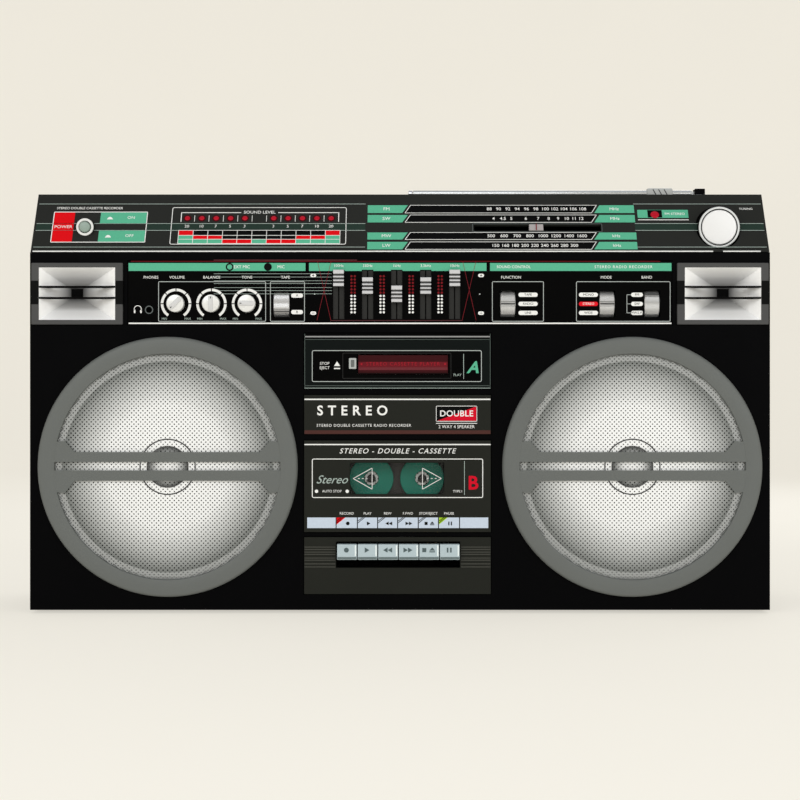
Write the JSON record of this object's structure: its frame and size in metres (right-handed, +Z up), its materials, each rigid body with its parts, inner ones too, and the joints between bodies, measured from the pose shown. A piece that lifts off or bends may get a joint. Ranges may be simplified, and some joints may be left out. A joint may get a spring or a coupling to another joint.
{
  "type": "cassette player",
  "caption": "Portable stereo radio with a slot-loading and a front-loading cassette deck, round grilled speakers, tweeter horns, tuning dial, sliders, piano keys, antenna and folding handle.",
  "frame": {"origin": "centre of the footprint's bounding box, on the surface that the feet stand on", "axes": "+X to the right seen from the front, +Y from the front towards the back, +Z up"},
  "size_m": [0.56, 0.158, 0.3285],
  "materials": {
    "cabinet_plastic": "fine-grained black moulded plastic",
    "dial_plastic": "dark grey satin panel with printed scales",
    "fascia_plastic": "satin black fascia with printed lines",
    "window_plastic": "clear smoked window",
    "grille_metal": "perforated silver steel in a grey ring",
    "horn_chrome": "metallised horn in a grey bezel",
    "silver_plastic": "satin silver plated plastic",
    "key_plastic": "pale grey-green satin keys",
    "red_plastic": "red plastic",
    "grey_plastic": "grey plastic",
    "reel_plastic": "teal reel tables with white hubs",
    "cone_paper": "pressed paper cone",
    "steel": "zinc-plated steel",
    "brass": "turned brass",
    "antenna_chrome": "chromed telescopic tube",
    "rubber": "soft black rubber",
    "circuit_board": "green circuit board with parts",
    "transformer_iron": "varnished laminations and coil"
  },
  "bodies": {
    "cabinet": {"front_cabinet": "cabinet_plastic", "rear_cabinet": "cabinet_plastic", "dial_panel": "dial_plastic", "control_panel": "fascia_plastic", "deck_a_fascia": "fascia_plastic", "badge_plate": "fascia_plastic", "key_panel": "fascia_plastic", "tape_chassis_a": "steel", "tape_chassis_b": "steel", "deck_motor": "steel", "drive_belt": "rubber", "main_board": "circuit_board", "power_transformer": "transformer_iron", "mains_inlet": "cabinet_plastic", "speaker_grille_left": "grille_metal", "speaker_grille_right": "grille_metal", "woofer_frame_left": "steel", "woofer_frame_right": "steel", "tweeter_horn_left": "horn_chrome", "tweeter_horn_right": "horn_chrome", "foot_left": "rubber", "foot_right": "rubber"},
    "deck_b_door": {"deck_b_door": "fascia_plastic", "deck_b_window": "window_plastic"},
    "tuning_knob": {"tuning_knob": "silver_plastic"},
    "tuning_pointer": {"tuning_pointer": "red_plastic"},
    "dial_drum": {"dial_drum": "grey_plastic"},
    "power_button": {"power_button": "grey_plastic"},
    "volume_knob": {"volume_knob": "silver_plastic"},
    "balance_knob": {"balance_knob": "silver_plastic"},
    "tone_knob": {"tone_knob": "silver_plastic"},
    "eq_slider_1": {"eq_slider_1": "silver_plastic"},
    "eq_slider_2": {"eq_slider_2": "silver_plastic"},
    "eq_slider_3": {"eq_slider_3": "silver_plastic"},
    "eq_slider_4": {"eq_slider_4": "silver_plastic"},
    "eq_slider_5": {"eq_slider_5": "silver_plastic"},
    "tape_mode_drum": {"tape_mode_drum": "silver_plastic"},
    "function_drum": {"function_drum": "silver_plastic"},
    "stereo_drum": {"stereo_drum": "silver_plastic"},
    "band_drum": {"band_drum": "silver_plastic"},
    "deck_a_flap": {"deck_a_flap": "red_plastic"},
    "deck_a_eject_button": {"deck_a_eject_button": "grey_plastic"},
    "supply_spindle": {"supply_spindle": "reel_plastic"},
    "takeup_spindle": {"takeup_spindle": "reel_plastic"},
    "flywheel": {"flywheel": "brass"},
    "motor_pulley": {"motor_pulley": "brass"},
    "head_bridge": {"head_bridge": "steel"},
    "key_record": {"key_record": "key_plastic"},
    "key_play": {"key_play": "key_plastic"},
    "key_rewind": {"key_rewind": "key_plastic"},
    "key_fast_forward": {"key_fast_forward": "key_plastic"},
    "key_stop_eject": {"key_stop_eject": "key_plastic"},
    "key_pause": {"key_pause": "key_plastic"},
    "antenna_pivot": {"antenna_pivot": "cabinet_plastic"},
    "antenna_mast": {"antenna_mast": "antenna_chrome"},
    "antenna_rod": {"antenna_rod": "antenna_chrome"},
    "carrying_handle": {"carrying_handle": "cabinet_plastic"},
    "battery_door": {"battery_door": "cabinet_plastic"},
    "woofer_cone_left": {"woofer_cone_left": "cone_paper"},
    "woofer_cone_right": {"woofer_cone_right": "cone_paper"}
  },
  "joints": [
    {"name": "tuning_turn", "type": "hinge", "parent": "cabinet", "child": "tuning_knob", "pos_m": [0.2428, -0.065, 0.2928], "axis": [0, 1, 0], "range_deg": [-468, 490]},
    {"name": "pointer_travel", "type": "slide", "parent": "cabinet", "child": "tuning_pointer", "axis": [1, 0, 0], "range_m": [-0.041, 0.043]},
    {"name": "dial_drum_turn", "type": "hinge", "parent": "cabinet", "child": "dial_drum", "pos_m": [0.19, -0.027, 0.2935], "axis": [0, 1, 0], "range_deg": [-118, 123]},
    {"name": "power_press", "type": "slide", "parent": "cabinet", "child": "power_button", "axis": [0, 1, 0], "range_m": [0, 0.003], "stiffness_N_per_m": 400},
    {"name": "volume_turn", "type": "hinge", "parent": "cabinet", "child": "volume_knob", "pos_m": [-0.1694, -0.071, 0.2342], "axis": [0, 1, 0], "range_deg": [0, 270]},
    {"name": "balance_turn", "type": "hinge", "parent": "cabinet", "child": "balance_knob", "pos_m": [-0.1426, -0.071, 0.2342], "axis": [0, 1, 0], "range_deg": [-135, 135]},
    {"name": "tone_turn", "type": "hinge", "parent": "cabinet", "child": "tone_knob", "pos_m": [-0.1157, -0.071, 0.2342], "axis": [0, 1, 0], "range_deg": [-45, 225]},
    {"name": "eq_slide_1", "type": "slide", "parent": "cabinet", "child": "eq_slider_1", "axis": [0, 0, 1], "range_m": [-0.025, 0]},
    {"name": "eq_slide_2", "type": "slide", "parent": "cabinet", "child": "eq_slider_2", "axis": [0, 0, 1], "range_m": [-0.0192, 0.0058]},
    {"name": "eq_slide_3", "type": "slide", "parent": "cabinet", "child": "eq_slider_3", "axis": [0, 0, 1], "range_m": [-0.013, 0.012]},
    {"name": "eq_slide_4", "type": "slide", "parent": "cabinet", "child": "eq_slider_4", "axis": [0, 0, 1], "range_m": [-0.0192, 0.0058]},
    {"name": "eq_slide_5", "type": "slide", "parent": "cabinet", "child": "eq_slider_5", "axis": [0, 0, 1], "range_m": [-0.025, 0]},
    {"name": "tape_mode_select", "type": "hinge", "parent": "cabinet", "child": "tape_mode_drum", "pos_m": [-0.08965, -0.0618, 0.2336], "axis": [-1, 0, 0], "range_deg": [0, 60]},
    {"name": "function_select", "type": "hinge", "parent": "cabinet", "child": "function_drum", "pos_m": [0.0816, -0.0618, 0.23415], "axis": [-1, 0, 0], "range_deg": [-38, 38]},
    {"name": "stereo_select", "type": "hinge", "parent": "cabinet", "child": "stereo_drum", "pos_m": [0.1566, -0.0618, 0.23415], "axis": [-1, 0, 0], "range_deg": [-38, 38]},
    {"name": "band_select", "type": "hinge", "parent": "cabinet", "child": "band_drum", "pos_m": [0.1906, -0.0618, 0.23415], "axis": [-1, 0, 0], "range_deg": [-76, 0]},
    {"name": "flap_swing", "type": "hinge", "parent": "cabinet", "child": "deck_a_flap", "pos_m": [0.0023, -0.07, 0.1945], "axis": [1, 0, 0], "range_deg": [0, 80]},
    {"name": "eject_press", "type": "slide", "parent": "cabinet", "child": "deck_a_eject_button", "axis": [0, 1, 0], "range_m": [0, 0.0035], "stiffness_N_per_m": 300},
    {"name": "door_tilt", "type": "hinge", "parent": "cabinet", "child": "deck_b_door", "pos_m": [-0.0019, -0.071, 0.0655], "axis": [1, 0, 0], "range_deg": [0, 25]},
    {"name": "supply_spin", "type": "hinge", "parent": "cabinet", "child": "supply_spindle", "pos_m": [-0.0219, -0.053, 0.1013], "axis": [0, 1, 0], "continuous": true},
    {"name": "takeup_spin", "type": "hinge", "parent": "cabinet", "child": "takeup_spindle", "pos_m": [0.017, -0.053, 0.1013], "axis": [0, 1, 0], "continuous": true},
    {"name": "flywheel_spin", "type": "hinge", "parent": "cabinet", "child": "flywheel", "pos_m": [0.015, -0.021, 0.0713], "axis": [0, 1, 0], "continuous": true},
    {"name": "motor_spin", "type": "hinge", "parent": "cabinet", "child": "motor_pulley", "pos_m": [-0.046, -0.021, 0.0865], "axis": [0, 1, 0], "continuous": true},
    {"name": "head_lift", "type": "slide", "parent": "cabinet", "child": "head_bridge", "axis": [0, 0, 1], "range_m": [0, 0.005]},
    {"name": "key_record_press", "type": "hinge", "parent": "cabinet", "child": "key_record", "pos_m": [-0.04, -0.037, 0.0465], "axis": [1, 0, 0], "range_deg": [0, 8], "stiffness_Nm_per_rad": 0.5},
    {"name": "key_play_press", "type": "hinge", "parent": "cabinet", "child": "key_play", "pos_m": [-0.0245, -0.037, 0.0465], "axis": [1, 0, 0], "range_deg": [0, 8], "stiffness_Nm_per_rad": 0.5},
    {"name": "key_rewind_press", "type": "hinge", "parent": "cabinet", "child": "key_rewind", "pos_m": [-0.009, -0.037, 0.0465], "axis": [1, 0, 0], "range_deg": [0, 8], "stiffness_Nm_per_rad": 0.5},
    {"name": "key_fast_forward_press", "type": "hinge", "parent": "cabinet", "child": "key_fast_forward", "pos_m": [0.0065, -0.037, 0.0465], "axis": [1, 0, 0], "range_deg": [0, 8], "stiffness_Nm_per_rad": 0.5},
    {"name": "key_stop_eject_press", "type": "hinge", "parent": "cabinet", "child": "key_stop_eject", "pos_m": [0.022, -0.037, 0.0465], "axis": [1, 0, 0], "range_deg": [0, 8], "stiffness_Nm_per_rad": 0.5},
    {"name": "key_pause_press", "type": "hinge", "parent": "cabinet", "child": "key_pause", "pos_m": [0.0375, -0.037, 0.0465], "axis": [1, 0, 0], "range_deg": [0, 8], "stiffness_Nm_per_rad": 0.5},
    {"name": "antenna_swivel", "type": "hinge", "parent": "cabinet", "child": "antenna_pivot", "pos_m": [0.2364, -0.011, 0.3205], "axis": [0, 0, 1], "range_deg": [-90, 90]},
    {"name": "antenna_tilt", "type": "hinge", "parent": "antenna_pivot", "child": "antenna_mast", "pos_m": [0.2364, -0.011, 0.3245], "axis": [0, 1, 0], "range_deg": [0, 120]},
    {"name": "antenna_extend", "type": "slide", "parent": "antenna_mast", "child": "antenna_rod", "axis": [-1, 0, 0], "range_m": [0, 0.165]},
    {"name": "handle_swing", "type": "hinge", "parent": "cabinet", "child": "carrying_handle", "pos_m": [0, 0.063, 0.2925], "axis": [1, 0, 0], "range_deg": [0, 180]},
    {"name": "battery_door_open", "type": "hinge", "parent": "cabinet", "child": "battery_door", "pos_m": [0, 0.078, 0.0226], "axis": [-1, 0, 0], "range_deg": [0, 95]},
    {"name": "cone_left_travel", "type": "slide", "parent": "cabinet", "child": "woofer_cone_left", "axis": [0, 1, 0], "range_m": [-0.003, 0.003], "stiffness_N_per_m": 2000},
    {"name": "cone_right_travel", "type": "slide", "parent": "cabinet", "child": "woofer_cone_right", "axis": [0, 1, 0], "range_m": [-0.003, 0.003], "stiffness_N_per_m": 2000}
  ],
  "couplings": [
    {"joint": "pointer_travel", "follows": "tuning_turn", "m_per_rad": 0.005},
    {"joint": "dial_drum_turn", "follows": "tuning_turn", "ratio": 0.25},
    {"joint": "motor_spin", "follows": "flywheel_spin", "ratio": 4.0893},
    {"joint": "head_lift", "follows": "key_play_press", "m_per_rad": 0.0358}
  ]
}
